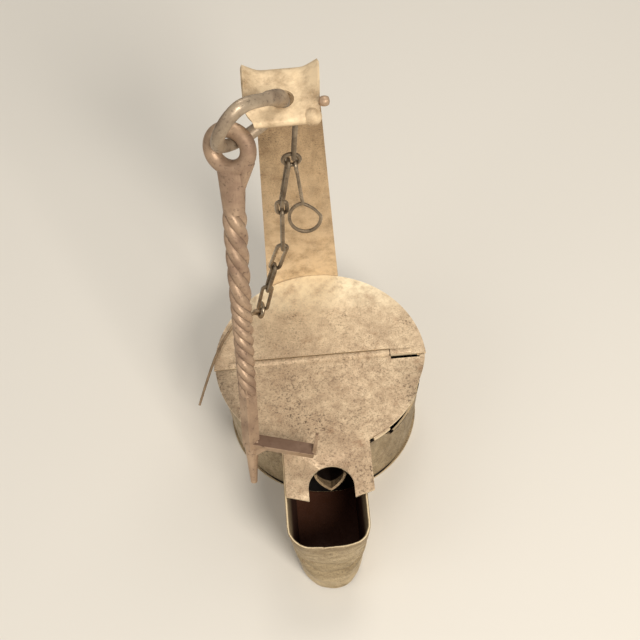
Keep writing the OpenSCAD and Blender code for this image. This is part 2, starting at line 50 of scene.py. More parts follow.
camera_data = bpy.data.cameras.new("view")
camera_data.sensor_width = 36.0
camera_data.lens = 36.0 * focal_px / picture_px
camera_data.clip_start = 0.01
camera = bpy.data.objects.new("view", camera_data)
camera.matrix_world = Matrix((
    (lens_x.x, lens_y.x, view_back.x, lens_at.x),
    (lens_x.y, lens_y.y, view_back.y, lens_at.y),
    (lens_x.z, lens_y.z, view_back.z, lens_at.z),
    (0.0, 0.0, 0.0, 1.0),
))
bpy.context.scene.collection.objects.link(camera)
bpy.context.scene.camera = camera
bpy.context.scene.view_settings.view_transform = "Standard"


# The floor: one wide sheet of pale matt paper under the lamp, just clear of its bottom. It gives the
# eye an even ground with soft shadows and no gloss.
def linear(hex_colour):
    parts = [int(hex_colour[i:i + 2], 16) / 255 for i in (1, 3, 5)]
    return [p / 12.92 if p <= 0.04045 else ((p + 0.055) / 1.055) ** 2.4 for p in parts] + [1.0]


def add_node(tree, kind, links=None, values=None, **settings):
    node = tree.nodes.new(kind)
    for name, value in settings.items():
        setattr(node, name, value)
    for name, value in (values or {}).items():
        node.inputs[name].default_value = value
    for name, source in (links or {}).items():
        tree.links.new(source, node.inputs[name])
    return node


def new_material(name):
    material = bpy.data.materials.new(name)
    material.use_nodes = True
    tree = material.node_tree
    tree.nodes.clear()
    shader = add_node(tree, "ShaderNodeBsdfPrincipled")
    add_node(tree, "ShaderNodeOutputMaterial", {"Surface": shader.outputs[0]})
    return material, tree, shader


floor_width, floor_drop = 6.0, 0.2 * MM
bpy.ops.object.select_all(action="DESELECT")
bpy.ops.mesh.primitive_plane_add(size=floor_width, location=(0, 0, -floor_drop))
floor = bpy.context.object
floor.name = "floor"
paper, paper_tree, paper_shader = new_material("matt_paper")
paper_shader.inputs["Base Color"].default_value = linear("#d9d5cd")
paper_shader.inputs["Roughness"].default_value = 0.9
floor.data.materials.append(paper)

# The light: a broad soft lamp high at the front right, weaker ones behind and at the left, and an
# even pale surrounding.
world = bpy.data.worlds.new("studio")
bpy.context.scene.world = world
world.use_nodes = True
world.node_tree.nodes["Background"].inputs["Color"].default_value = linear("#f1eee9")
world.node_tree.nodes["Background"].inputs["Strength"].default_value = 0.42
lamp_aim = Vector((0, 0, 60)) * MM


def soft_lamp(name, place, size, power, colour):
    data = bpy.data.lights.new(name, "AREA")
    data.shape = "DISK"
    data.size = size
    data.energy = power
    data.color = linear(colour)[:3]
    lamp = bpy.data.objects.new(name, data)
    lamp.location = place
    lamp.rotation_euler = (lamp_aim - Vector(place)).to_track_quat("-Z", "Y").to_euler()
    bpy.context.scene.collection.objects.link(lamp)


soft_lamp("front_lamp", (0.26, -0.54, 0.62), 0.30, 5.6, "#fff8ee")
soft_lamp("rear_lamp", (0.12, 0.38, 0.72), 0.35, 1.8, "#fff8ee")
soft_lamp("left_lamp", (-0.6, -0.25, 0.45), 0.5, 1.0, "#fffaf3")


# The sheet-iron body: floors, walls, covers, wick trough and handle, cut from tinned plate and
# soldered. The tin is dulled to a mottled tan, with dark pits in drifts and rust stains, and it
# carries painted light and painted shade in bands and along its edges.
# The rear cover, the round floor and the bead on the rim keep their CAD shapes.
def tinplate(name, tin, streak=(1, 1, 1), pits=1.0, edge=None, inside=None, base=None, bands=()):
    pale, tan, shade, rust, pit = tin
    material, tree, shader = new_material(name)
    coords = add_node(tree, "ShaderNodeTexCoord")
    place, facing = coords.outputs["Object"], coords.outputs["Normal"]
    drawn = add_node(tree, "ShaderNodeMapping", {"Vector": place}, {"Scale": streak}).outputs[0]
    sides = add_node(tree, "ShaderNodeSeparateXYZ", {0: place})
    upright = add_node(tree, "ShaderNodeSeparateXYZ", {0: facing}).outputs[2]

    # what the plate shows: its size in millimetres, its detail, the span of the noise and its strength
    marks = {}
    for mark, vector, size_mm, detail, low, high, strength in (
        ("clouds of dulled tin", drawn, 22, 4.0, 0.35, 0.66, 1.0),
        ("mottle", drawn, 3.2, 4.0, 0.36, 0.68, 0.6),
        ("rust stains", place, 7, 5.0, 0.58, 0.74, 0.75),
        ("bright flakes", place, 2.0, 5.0, 0.56, 0.72, 0.55),
        ("drifts", place, 19, 3.0, 0.40, 0.66, pits),
        ("specks", place, 0.8, 2.0, 0.54, 0.68, 0.85),
        ("grain", place, 0.55, 1.0, 0.5, 0.72, 0.4),
        ("band breakup", place, 6, 5.0, 0.25, 0.6, 1.0),
    ):
        noise = add_node(tree, "ShaderNodeTexNoise", {"Vector": vector},
                         {"Scale": 1000 / size_mm, "Detail": detail, "Roughness": 0.62})
        marks[mark] = add_node(tree, "ShaderNodeMapRange", {"Value": noise.outputs["Fac"]},
                               {"From Min": low, "From Max": high, "To Max": strength}).outputs[0]
    # the pits are specks that gather in the drifts
    pitted = add_node(tree, "ShaderNodeMath", {0: marks["drifts"], 1: marks["specks"]},
                      operation="MULTIPLY").outputs[0]
    layers = [(marks["mottle"], shade), (marks["rust stains"], rust), (marks["bright flakes"], pale),
              (pitted, pit), (marks["grain"], pit)]
    # bands along one axis painted paler or darker: painted light and painted shade on the rear cover and
    # the strap, plain paler and darker bands on the spout
    for axis, low, high, band_colour, strength in bands:
        reach = add_node(tree, "ShaderNodeMapRange", {"Value": sides.outputs[axis]},
                         {"From Min": low * MM, "From Max": high * MM, "To Max": strength})
        worn = add_node(tree, "ShaderNodeMath", {0: reach.outputs[0], 1: marks["band breakup"]},
                        operation="MULTIPLY")
        layers.append((worn.outputs[0], band_colour))
    if edge:
        # a painted highlight on the sheet's cut edge, on the faces picked by which way they look
        bright, span = edge
        level = add_node(tree, "ShaderNodeMath", {0: upright}, operation="ABSOLUTE")
        rim = add_node(tree, "ShaderNodeMapRange", {"Value": level.outputs[0]}, span)
        layers.append((rim.outputs[0], bright))
    if inside:
        # soot and old oil, with painted shade, on the faces that look inwards, thinning out towards the rim
        dark, centre, high, low = inside
        outwards = add_node(tree, "ShaderNodeVectorMath", {0: place}, {1: centre}, operation="SUBTRACT")
        flat = add_node(tree, "ShaderNodeVectorMath", {0: outwards.outputs[0]}, {1: (1, 1, 0)},
                        operation="MULTIPLY")
        turned = add_node(tree, "ShaderNodeVectorMath", {0: flat.outputs[0], 1: facing},
                          operation="DOT_PRODUCT")
        inner = add_node(tree, "ShaderNodeMapRange", {"Value": turned.outputs["Value"]},
                         {"From Min": -0.5 * MM, "From Max": -3 * MM})
        depth = add_node(tree, "ShaderNodeMapRange", {"Value": sides.outputs[2]},
                         {"From Min": high * MM, "From Max": low * MM})
        darkened = add_node(tree, "ShaderNodeMath", {0: inner.outputs[0], 1: depth.outputs[0]},
                          operation="MULTIPLY")
        layers.append((darkened.outputs[0], dark))
    if base:
        # darkening on the faces that look up within the walls, and none on the lip outside them: soot and
        # burnt oil, with painted shade inside the reservoir
        dark, centre, half_sizes = base
        reach = add_node(tree, "ShaderNodeVectorMath", {0: place}, {1: centre}, operation="SUBTRACT")
        share = add_node(tree, "ShaderNodeVectorMath", {0: reach.outputs[0]}, {1: half_sizes},
                         operation="DIVIDE")
        far = add_node(tree, "ShaderNodeVectorMath", {0: share.outputs[0]}, operation="LENGTH")
        within = add_node(tree, "ShaderNodeMath", {0: far.outputs["Value"]}, {1: 1.0},
                          operation="LESS_THAN")
        above = add_node(tree, "ShaderNodeMath", {0: upright}, {1: 0.3}, operation="GREATER_THAN")
        darkened = add_node(tree, "ShaderNodeMath", {0: within.outputs[0], 1: above.outputs[0]},
                          operation="MULTIPLY")
        layers.append((darkened.outputs[0], dark))
    mixed = add_node(tree, "ShaderNodeMix", {0: marks["clouds of dulled tin"]},
                     {6: linear(pale), 7: linear(tan)}, data_type="RGBA")
    for share, colour in layers:
        mixed = add_node(tree, "ShaderNodeMix", {0: share, 6: mixed.outputs[2]}, {7: linear(colour)},
                         data_type="RGBA")
    tree.links.new(mixed.outputs[2], shader.inputs["Base Color"])
    rough = add_node(tree, "ShaderNodeMapRange", {"Value": marks["mottle"]},
                     {"From Max": 0.6, "To Min": 0.5, "To Max": 0.75})
    tree.links.new(rough.outputs[0], shader.inputs["Roughness"])
    shader.inputs["Metallic"].default_value = 0.25
    # dents about 26 mm across, and the pits sunk a little
    dents = add_node(tree, "ShaderNodeTexNoise", {"Vector": drawn}, {"Scale": 1000 / 26, "Detail": 2.0})
    wave = add_node(tree, "ShaderNodeBump", {"Height": dents.outputs["Fac"]},
                    {"Strength": 0.4, "Distance": 1.5 * MM})
    grain = add_node(tree, "ShaderNodeBump", {"Height": marks["specks"], "Normal": wave.outputs[0]},
                     {"Strength": 0.35, "Distance": 0.2 * MM}, invert=True)
    tree.links.new(grain.outputs[0], shader.inputs["Normal"])
    return material


# nearly black for the reservoir's inside: soot and old oil, with painted shade
soot_and_shade = "#140d09"
spout_mid = -2.2 * MM
any_height = 1.0
# the faces that get the painted edge highlight: those standing on edge, and those looking straight up or
# down
cut_edge = {"From Min": 0.6, "From Max": 0.4}
top_edge = {"From Min": 0.9, "From Max": 0.98}
cover_tin = ("#d8c1a0", "#bda385", "#a0866c", "#936f50", "#463627")
wall_tin = ("#bda886", "#9a8666", "#7a694e", "#7a5b3d", "#3a2d20")
# the covers: a pale matt tan, peppered with dark pits, with a painted highlight along the cut edge
cover_plate = tinplate("worn_tinplate_cover", cover_tin, edge=("#dfcaa8", cut_edge))
# the rear cover: the same, with painted highlight in bands that grow nearly cream towards the handle
rear_plate = tinplate("worn_tinplate_rear", cover_tin, edge=("#dfcaa8", cut_edge),
                      bands=((1, 2, 30, "#eed9b6", 0.6), (1, 22, 34, "#fbecca", 0.9)))
# the wall: a darker olive tan with a painted highlight on its rim's top, nearly black inside: soot and old
# oil, with painted shade
wall_plate = tinplate("worn_tinplate_wall", wall_tin, (1, 1, 0.5), edge=("#d0ba96", top_edge),
                      inside=(soot_and_shade, (0, 0, 0), 40, 39),
                      base=(soot_and_shade, (spout_mid, -36 * MM, 5 * MM), (16 * MM, 9 * MM, 26 * MM)))
# the floor: the wall's tan with a painted highlight on its lip, nearly black within the wall: soot and old
# oil, with painted shade
floor_plate = tinplate("worn_tinplate_floor", wall_tin, edge=("#d2bc97", cut_edge),
                       base=(soot_and_shade, (0, 0, 0), (35 * MM, 37.5 * MM, any_height)))
for node, material in (
    ("rear_cover", rear_plate), ("reservoir_floor", floor_plate), ("rim_tab", cover_plate),
):
    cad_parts[node].material_slots[0].material = material


# The spout: a strip of the same plate bent to a deep scoop and soldered to the wall, over its own
# floor. Its front is dented in long folds, its rim was cut by eye and dips to the right.
def take_up(piece):
    bpy.ops.object.select_all(action="DESELECT")
    piece.select_set(True)
    bpy.context.view_layer.objects.active = piece


def pick_verts(mesh_object, test):
    bpy.ops.object.mode_set(mode="EDIT")
    bpy.ops.mesh.select_mode(type="VERT")
    bpy.ops.mesh.select_all(action="DESELECT")
    bpy.ops.object.mode_set(mode="OBJECT")
    for vert in mesh_object.data.vertices:
        vert.select = test(vert.co)
    bpy.ops.object.mode_set(mode="EDIT")


def finish_modifier(mesh_object, kind, **settings):
    modifier = mesh_object.modifiers.new(kind.lower(), kind)
    for name, value in settings.items():
        setattr(modifier, name, value)
    bpy.ops.object.modifier_apply(modifier=modifier.name)


def remesh(piece, voxel_mm):
    piece.data.remesh_voxel_size = voxel_mm * MM
    bpy.ops.object.voxel_remesh()


def copy_of(node):
    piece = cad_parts[node].copy()
    piece.data = piece.data.copy()
    piece.name = node + "_sheet"
    bpy.context.scene.collection.objects.link(piece)
    take_up(piece)
    bpy.ops.object.mode_set(mode="EDIT")
    bpy.ops.mesh.select_all(action="SELECT")
    bpy.ops.mesh.remove_doubles(threshold=0.001 * MM)
    bpy.ops.object.mode_set(mode="OBJECT")
    return piece


def dress(piece, body, node, material):
    piece.data.materials.clear()
    piece.data.materials.append(material)
    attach(piece, body)
    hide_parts(node)


def ease(value, low, high):
    share = min(max((value - low) / (high - low), 0), 1)
    return share * share * (3 - 2 * share)


def bell(value, width):
    return math.exp(-(value / width) ** 2)


# the spout's wall: long streaks along the folds, darker under the rim and paler towards the bottom, a
# painted highlight on the rim's top, and dark inside: soot, with painted shade
spout_plate = tinplate("worn_tinplate_spout", ("#c3af8d", "#a08c6a", "#7b6a4e", "#7a5d3f", "#3d2f21"),
                       (0.5, 0.5, 2.2), 0.7, edge=("#dcc8a4", top_edge),
                       inside=("#3d2216", (spout_mid, -52 * MM, 0), 34, 20),
                       bands=((2, 12, 2, "#dcc7a2", 0.75), (2, 25, 33, "#6d5a45", 0.45)))
# the spout's floor: a dark red-brown of burnt oil
spout_soot = tinplate("sooted_tinplate_floor", ("#bba687", "#9a8664", "#766549", "#785b3d", "#3d2f21"),
                      base=("#55301d", (spout_mid, -52 * MM, 0), (30 * MM, 40 * MM, any_height)))
# folds across the front: their depth, height, bow towards the sides and width; the last one bulges out
front_folds = ((0.9, 12.5, 0.06, 1.1), (0.5, 20, 0.03, 1.6), (-0.7, 8, 0.06, 2.6))
# the rim's worn stretches: their middle, reach and fall
rim_dips = (((3, -72, 36), 20, 0.9), ((7, -71, 36), 12, 0.7), ((-6, -73, 36), 9, 0.3))
rim_height, corner_tuck = 36, 6.5
scoop, base = copy_of("spout_wall"), copy_of("spout_floor")
for piece, voxel_mm in ((base, 0.3), (scoop, 0.42)):
    take_up(piece)
    remesh(piece, voxel_mm)
    finish_modifier(piece, "SMOOTH", factor=0.5, iterations=2)

    # the corners are rounder towards the floor
    for vert in piece.data.vertices:
        side, depth, height = (vert.co.x - spout_mid) / MM, -vert.co.y / MM, vert.co.z / MM
        half_width = 12.2 + 0.078 * height
        corner = ease(depth, 54, 68) * min(abs(side) / half_width, 1) ** 2
        tuck = corner_tuck * (1 - height / rim_height) * corner
        fold = sum(deep * bell(height - at - bow * side * side, width)
                   for deep, at, bow, width in front_folds)
        vert.co.y += (tuck + ease(depth, 62, 70) * fold) * MM

take_up(base)
bpy.ops.object.mode_set(mode="EDIT")
bpy.ops.mesh.select_all(action="SELECT")
bpy.ops.transform.resize(value=(0.96, 0.97, 1), center_override=(spout_mid, -38 * MM, 0))
bpy.ops.object.mode_set(mode="OBJECT")
bpy.ops.object.shade_smooth_by_angle(angle=math.radians(45))
dress(base, "lamp", "spout_floor", spout_soot)

# the scoop's soft dents, and its rim worn down at the front
take_up(scoop)
dents = bpy.data.textures.new("spout_dents", "CLOUDS")
dents.noise_scale = 15 * MM
finish_modifier(scoop, "DISPLACE", texture=dents, texture_coords="LOCAL", direction="Y",
                strength=1.8 * MM, mid_level=0.5)
for middle, reach, fall in rim_dips:
    at = Vector(middle) * MM
    for part in (1.0, 0.8, 0.6, 0.4):
        pick_verts(scoop, lambda co: (co - at).length < reach * part * MM)
        bpy.ops.transform.translate(value=(0, 0, -fall * MM / 4))
        bpy.ops.object.mode_set(mode="OBJECT")
finish_modifier(scoop, "SMOOTH", factor=0.5, iterations=2)
bpy.ops.object.shade_smooth()
dress(scoop, "lamp", "spout_wall", spout_plate)

# The reservoir wall: a tapered band of plate, open to the spout and soldered to the floor. Its rim is
# bent down at the right, where the front cover stands off it.
wall_top, rim_bend = 35.3, 4.2
# the gap between wall and cover, in degrees from the right towards the spout
gap_start, gap_end, bead_end = 2, 54, 66
wall = copy_of("reservoir_wall")
for vert in wall.data.vertices:
    turn = math.degrees(math.atan2(-vert.co.y, vert.co.x))
    if vert.co.z > 30 * MM and gap_start < turn < bead_end:
        bent = ease(turn, gap_start, 34) * (1 - ease(turn, gap_end - 2, gap_end + 1))
        vert.co.z = (wall_top - rim_bend * bent) * MM
bpy.ops.object.shade_smooth_by_angle(angle=math.radians(40))
dress(wall, "lamp", "reservoir_wall", wall_plate)


# The front cover: a half disc of the same plate with a notched tongue over the spout. Its straight
# side is rolled round the hinge wire, and its rim is drawn in at the right.
def join_to(piece, *others):
    take_up(piece)
    for other in others:
        other.select_set(True)
    bpy.ops.object.join()


rim_inside, drawn_in = 38.5, 0.105
roll_radius, roll_length, roll_y, roll_z = 1.2, 52.6, 2.4, 35.5
lid = copy_of("front_cover")
for vert in lid.data.vertices:
    turn = math.degrees(math.atan2(-vert.co.y, vert.co.x))
    if vert.co.xy.length > rim_inside * MM and gap_start < turn < gap_end:
        vert.co.xy *= 1 - drawn_in * math.sin(math.radians(turn - gap_start))
bpy.ops.object.select_all(action="DESELECT")
bpy.ops.mesh.primitive_cylinder_add(vertices=32, radius=roll_radius * MM, depth=roll_length * MM,
                                    location=(0, roll_y * MM, roll_z * MM),
                                    rotation=(0, math.radians(90), 0))
roll = bpy.context.object
bpy.ops.object.transform_apply(location=True, rotation=True, scale=False)
join_to(lid, roll)
bpy.ops.object.shade_smooth_by_angle(angle=math.radians(40))
dress(lid, "lid", "front_cover", cover_plate)

# The wick trough: a gutter of plate that rises from the floor to the notch, where it ends in a
# point. Smoke has blackened its hollow, and its lip is rubbed pale.
trough_length, trough_half_width, trough_tip_y, trough_tip_z = 42, 5.5, -44.6, 30.6
trough_depth, trough_crease, lip_point, trough_sheet = 3.2, 2.2, 2.4, 0.9
slope, half_turn = math.radians(33), math.radians(88)
# the trough: a warm tan lip round a hollow that is nearly black
trough_plate = tinplate("worn_tinplate_trough", ("#c9af88", "#a3896a", "#7a644a", "#7a5738", "#2f241a"),
                        base=("#22140c", (0, -10 * MM, 0), (20 * MM, 33 * MM, any_height)))
bpy.ops.object.select_all(action="DESELECT")
bpy.ops.mesh.primitive_grid_add(x_subdivisions=20, y_subdivisions=40, size=2)
trough = bpy.context.object
trough.name = "wick_trough"
for vert in trough.data.vertices:
    turn = half_turn * vert.co.x
    start = lip_point * abs(vert.co.x)
    along = start + (trough_length - start) * (vert.co.y + 1) / 2
    sunk = trough_depth * math.cos(turn) + trough_crease * (1 - abs(math.sin(turn)))
    vert.co = Vector((trough_half_width * math.sin(turn),
                      trough_tip_y + along * math.cos(slope) - sunk * math.sin(slope),
                      trough_tip_z - along * math.sin(slope) - sunk * math.cos(slope))) * MM
finish_modifier(trough, "SOLIDIFY", thickness=trough_sheet * MM, offset=0.0)
bpy.ops.object.shade_smooth_by_angle(angle=math.radians(40))
dress(trough, "lamp", "wick_support", trough_plate)

# The handle: one strap of plate, narrowed to the top and bent forward there into a small table.
# The table's sides are flared up, its front is rolled under, and the foot is soldered to the wall.
strap_y, strap_foot, strap_low, strap_high = 41.25, 8.0, 26.0, 144.0
strap_left, strap_right, narrowing = -18.2, 10.4, 3.8
table_left, table_right = -17.8, 6.6
bend, bend_z = 3.45, 153
table_flare, strap_sheet = 3.4, 1.0
hole_x, hole_y, hole_radius = -5.6, 26.6, 3.7
foot_round, cover_step, wall_taper = 41.2, 2.45, 1.9
lump_at, lump_radius, lump_stretch = Vector((3.3, 19.9, 155.2)) * MM, 2.3, (1.3, 1.35, 1.1)
# the strap: painted shade under the table, painted light on its lower part, and paler on the table's top
strap_plate = tinplate("worn_tinplate_strap", ("#c9ad88", "#ad916d", "#8a7152", "#7d5b3c", "#3d2e1f"),
                       (1, 1, 0.4), bands=((2, 115, 45, "#e6cda8", 0.9), (2, 110, 148, "#76593c", 0.55),
                                          (2, 153, 155.5, "#f0d8b2", 0.9)))
bpy.ops.object.select_all(action="DESELECT")
strap_width, foot_mid = strap_right - strap_left, (strap_foot + strap_low) / 2
bpy.ops.mesh.primitive_plane_add(
    size=strap_width * MM, rotation=(math.radians(90), 0, 0),
    location=((strap_left + strap_right) / 2 * MM, strap_y * MM, foot_mid * MM))
strap = bpy.context.object
strap.name = "handle_sheet"
bpy.ops.object.transform_apply(location=True, rotation=True, scale=True)
bpy.ops.object.mode_set(mode="EDIT")
bpy.ops.mesh.select_all(action="SELECT")
bpy.ops.transform.resize(value=(1, 1, (strap_low - strap_foot) / strap_width),
                         center_override=(0, 0, foot_mid * MM))
bpy.ops.mesh.subdivide(number_cuts=9)
bpy.ops.object.mode_set(mode="OBJECT")

# the strap's top edge is drawn out in steps of depth, height, left edge and right edge
steps = []
for z in (32, 36, 40, 44, 48, 60, 72, 84, 96, 108, 120, 132, 144):
    narrower = narrowing * (z - strap_low) / (strap_high - strap_low)
    steps.append((strap_y, z, strap_left + narrower, strap_right - narrower))
steps += [(strap_y, 149, -15.9, table_right), (strap_y, bend_z, table_left, table_right)]
for turn in (math.radians(30), math.radians(60), math.radians(90)):
    steps.append((strap_y - bend + bend * math.cos(turn), bend_z + bend * math.sin(turn),
                  table_left, table_right))
steps += [(y, bend_z + bend, table_left, 4.4 + 0.06 * y) for y in (35, 31, 27, 23)]
# the front, rolled under
steps += [(20.4, 156.5, -16.6, 5.7), (18.9, 156.3, -15.4, 5.6), (18.0, 155.4, -15.0, 5.5),
          (18.2, 154.3, -14.8, 5.3), (19.2, 153.8, -14.6, 5.2), (20.3, 154.0, -14.6, 5.2)]
pick_verts(strap, lambda co: co.z > (strap_low - 0.1) * MM)
was = (strap_y, strap_low, strap_left, strap_right)
for step in steps:
    bpy.ops.mesh.extrude_region_move(TRANSFORM_OT_translate={"value": (
        ((step[2] + step[3]) - (was[2] + was[3])) / 2 * MM, (step[0] - was[0]) * MM,
        (step[1] - was[1]) * MM)})
    bpy.ops.transform.resize(value=((step[3] - step[2]) / (was[3] - was[2]), 1, 1),
                             center_override=((step[2] + step[3]) / 2 * MM, 0, 0))
    was = step
bpy.ops.object.mode_set(mode="OBJECT")

# the foot, drawn in behind the rear cover and laid round the wall, and the table's flared sides
for vert in strap.data.vertices:
    side, height = vert.co.x / MM, vert.co.z / MM
    if height > 146:
        flare = ease(abs(side - hole_x), 7.4, 12.2) * ease(vert.co.y / MM, 21, 33)
        vert.co.z += table_flare * flare * MM
    if height < 50:
        laid = foot_round - cover_step * (1 - ease(height, 28, 34)) - wall_taper * (1 - ease(height, 0, 34))
        round_it = math.sqrt(laid * laid - side * side)
        vert.co.y = (round_it + (strap_y - round_it) * ease(height, 35, 50)) * MM

bpy.ops.object.mode_set(mode="EDIT")
bpy.ops.mesh.select_all(action="SELECT")
bpy.ops.mesh.remove_doubles(threshold=0.01 * MM)
bpy.ops.mesh.normals_make_consistent(inside=False)
bpy.ops.object.mode_set(mode="OBJECT")
finish_modifier(strap, "SUBSURF", levels=1, render_levels=1)
finish_modifier(strap, "SOLIDIFY", thickness=strap_sheet * MM, offset=0.0)

# the hole that the ring swings in
bpy.ops.object.select_all(action="DESELECT")
bpy.ops.mesh.primitive_cylinder_add(vertices=48, radius=hole_radius * MM, depth=8 * MM,
                                    location=(hole_x * MM, hole_y * MM, (bend_z + bend) * MM))
punch = bpy.context.object
take_up(strap)
finish_modifier(strap, "BOOLEAN", object=punch, operation="DIFFERENCE", solver="EXACT")
bpy.data.objects.remove(punch)

# the lump at the right end of the rolled front
bpy.ops.object.select_all(action="DESELECT")
bpy.ops.mesh.primitive_uv_sphere_add(segments=32, ring_count=20, radius=lump_radius * MM,
                                     scale=lump_stretch, location=lump_at)
lump = bpy.context.object
bpy.ops.object.transform_apply(location=True, rotation=False, scale=True)
join_to(strap, lump)
bpy.ops.object.shade_smooth_by_angle(angle=math.radians(45))
dress(strap, "lamp", "handle_strap", strap_plate)


# The hanger ring: a stout round bar bent into a ring and shut in the plate's hole, where it is
# left thick. It is wrought iron, rubbed to a dull grey sheen on its outer side.
def forged_iron(name, worn, skin, deep, sheen=0.42, metal=0.4, top_shade=None, groove=None):
    material, tree, shader = new_material(name)
    coords = add_node(tree, "ShaderNodeTexCoord")
    place = coords.outputs["Object"]
    # fire scale in patches about 9 mm across
    patches = add_node(tree, "ShaderNodeTexNoise", {"Vector": place},
                       {"Scale": 1000 / 9, "Detail": 5.0, "Roughness": 0.6})
    scale = add_node(tree, "ShaderNodeMapRange", {"Value": patches.outputs["Fac"]},
                     {"From Min": 0.36, "From Max": 0.66}).outputs[0]
    # pits from specks about 1.4 mm across
    specks = add_node(tree, "ShaderNodeTexNoise", {"Vector": place},
                      {"Scale": 1000 / 1.4, "Detail": 4.0, "Roughness": 0.65})
    pits = add_node(tree, "ShaderNodeMapRange", {"Value": specks.outputs["Fac"]},
                    {"From Min": 0.56, "From Max": 0.74, "To Max": 0.8})
    layers = [(pits.outputs[0], deep)]
    if groove:
        # painted shade in the grooves, where the surface bends inwards
        bend_in = add_node(tree, "ShaderNodeNewGeometry").outputs["Pointiness"]
        groove_shade = add_node(tree, "ShaderNodeMapRange", {"Value": bend_in},
                         {"From Min": 0.49, "From Max": 0.44, "To Max": 0.9})
        layers.append((groove_shade.outputs[0], groove))
    if top_shade:
        # painted shade on the faces that look up, with some dark scale
        upright = add_node(tree, "ShaderNodeSeparateXYZ", {0: coords.outputs["Normal"]}).outputs[2]
        level = add_node(tree, "ShaderNodeMapRange", {"Value": upright},
                         {"From Min": 0.75, "From Max": 0.95, "To Max": 0.85})
        layers.append((level.outputs[0], top_shade))
    mixed = add_node(tree, "ShaderNodeMix", {0: scale}, {6: linear(worn), 7: linear(skin)},
                     data_type="RGBA")
    for share, colour in layers:
        mixed = add_node(tree, "ShaderNodeMix", {0: share, 6: mixed.outputs[2]}, {7: linear(colour)},
                         data_type="RGBA")
    tree.links.new(mixed.outputs[2], shader.inputs["Base Color"])
    rough = add_node(tree, "ShaderNodeMapRange", {"Value": scale}, {"To Min": sheen, "To Max": 0.66})
    tree.links.new(rough.outputs[0], shader.inputs["Roughness"])
    shader.inputs["Metallic"].default_value = metal
    bump = add_node(tree, "ShaderNodeBump", {"Height": specks.outputs["Fac"]},
                    {"Strength": 0.4, "Distance": 0.3 * MM}, invert=True)
    tree.links.new(bump.outputs[0], shader.inputs["Normal"])
    return material


# the ring: grey, with a long soft highlight along the bar
ring_iron = forged_iron("wrought_iron_ring", "#b3a189", "#857360", "#3b2f25", 0.3)
ring_radius, ring_bar, ring_flat, ring_bend, end_out = 12, 2.25, 0.28, 2.2, 0.8
heading, lean = math.radians(33), math.radians(20)
ring_way = Vector((-math.cos(heading), -math.sin(heading), 0))
ring_side = Vector((math.sin(heading), -math.cos(heading), 0))
ring_up = Vector((0, 0, 1)) * math.cos(lean) + ring_side * math.sin(lean)
ring_foot = Vector((hole_x, hole_y, 155)) + ring_way * 0.8 - ring_side * 0.528
ring_mid = ring_foot + ring_way * ring_radius
shut_end = Vector((-ring_radius * MM, 0, 0))
bpy.ops.object.select_all(action="DESELECT")
bpy.ops.mesh.primitive_torus_add(major_radius=ring_radius * MM, minor_radius=ring_bar * MM,
                                 major_segments=96, minor_segments=28)
ring = bpy.context.object
ring.name = "ring_bar"

# its upper side is flatter near the hole, its shut end is swelled, and it is bent out of flat
for vert in ring.data.vertices:
    if vert.co.y > 0:
        vert.co.y *= 1 - ring_flat * ease(-vert.co.x / MM, -6, 8)
for reach, swell in ((9.0, 1.13), (7.0, 1.13), (5.0, 1.12)):
    pick_verts(ring, lambda co: (co - shut_end).length < reach * MM)
    bpy.ops.transform.resize(value=(1, swell, 1), center_override=shut_end)
    bpy.ops.transform.resize(value=(swell, 1, swell), center_override=(-13 * MM, 0, 0))
    bpy.ops.object.mode_set(mode="OBJECT")
pick_verts(ring, lambda co: (co - shut_end).length < 6 * MM)
bpy.ops.transform.translate(value=(-end_out * MM, 0, 0))
bpy.ops.object.mode_set(mode="OBJECT")
for vert in ring.data.vertices:
    vert.co.z += ring_bend * MM * max(vert.co.y / (ring_radius * MM), 0) ** 1.5
finish_modifier(ring, "SMOOTH", factor=0.5, iterations=16)
bpy.ops.object.shade_smooth()
ring_turn = Matrix((ring_way, ring_up, ring_way.cross(ring_up))).transposed().to_4x4()
ring.data.transform(Matrix.Translation(ring_mid * MM) @ ring_turn)
dress(ring, "ring", "hanger_ring", ring_iron)


# The hanger rod: a square bar forged by hand, its top bent round into an eye, its middle twisted
# hot, its end drawn down to a spike. It is wrought iron, grey-brown, with painted shade in the grooves.
def frame_at(place, along, face):
    z = along.normalized()
    y = (face - z * face.dot(z)).normalized()
    turn = Matrix((y.cross(z), y, z)).transposed().to_4x4()
    return Matrix.Translation(place) @ turn


def pick_edges(mesh_object, test):
    bpy.ops.object.mode_set(mode="EDIT")
    bpy.ops.mesh.select_mode(type="EDGE")
    bpy.ops.mesh.select_all(action="DESELECT")
    bpy.ops.object.mode_set(mode="OBJECT")
    for edge in mesh_object.data.edges:
        edge.select = test(*[mesh_object.data.vertices[i].co for i in edge.vertices])
    bpy.ops.object.mode_set(mode="EDIT")


# the rod: a dull grey-brown, with painted shade in the grooves of the twist
hanger_iron = forged_iron("wrought_iron_hanger", "#b2977c", "#917762", "#4b3a2c", groove="#4a382b")
eye_at = Vector((-23.590, 19.173, 144.090))
fork_at = Vector((-27.3, -36.7, 46.8))
shank_way = Vector((-0.03305, -0.49774, -0.86670))
eye_face = Vector((-0.41030, -0.78397, 0.46588))
shank_length = (fork_at - eye_at).length
twist_mid, twist_length, twist_end = 54, 74, 91
ridge_out, ridge_radius, twist_taper = 1.9, 2.35, 0.76
plain_width, plain_length, plain_mid = 4.5, 25, 100.5
spike_root, spike_end, spike_length, spike_mid = 2.6, 1.25, 17.5, shank_length + 7.5
neck_top, neck_low, neck_length, neck_mid, neck_flat = 5.2, 3.6, 17, 13.5, 0.48
eye_radius, eye_bar = 6.5, 2.7
lap_root, lap_end, lap_length, lap_side, lap_mid = 2.5, 0.7, 11, 4.6, 9.2
ridges = []
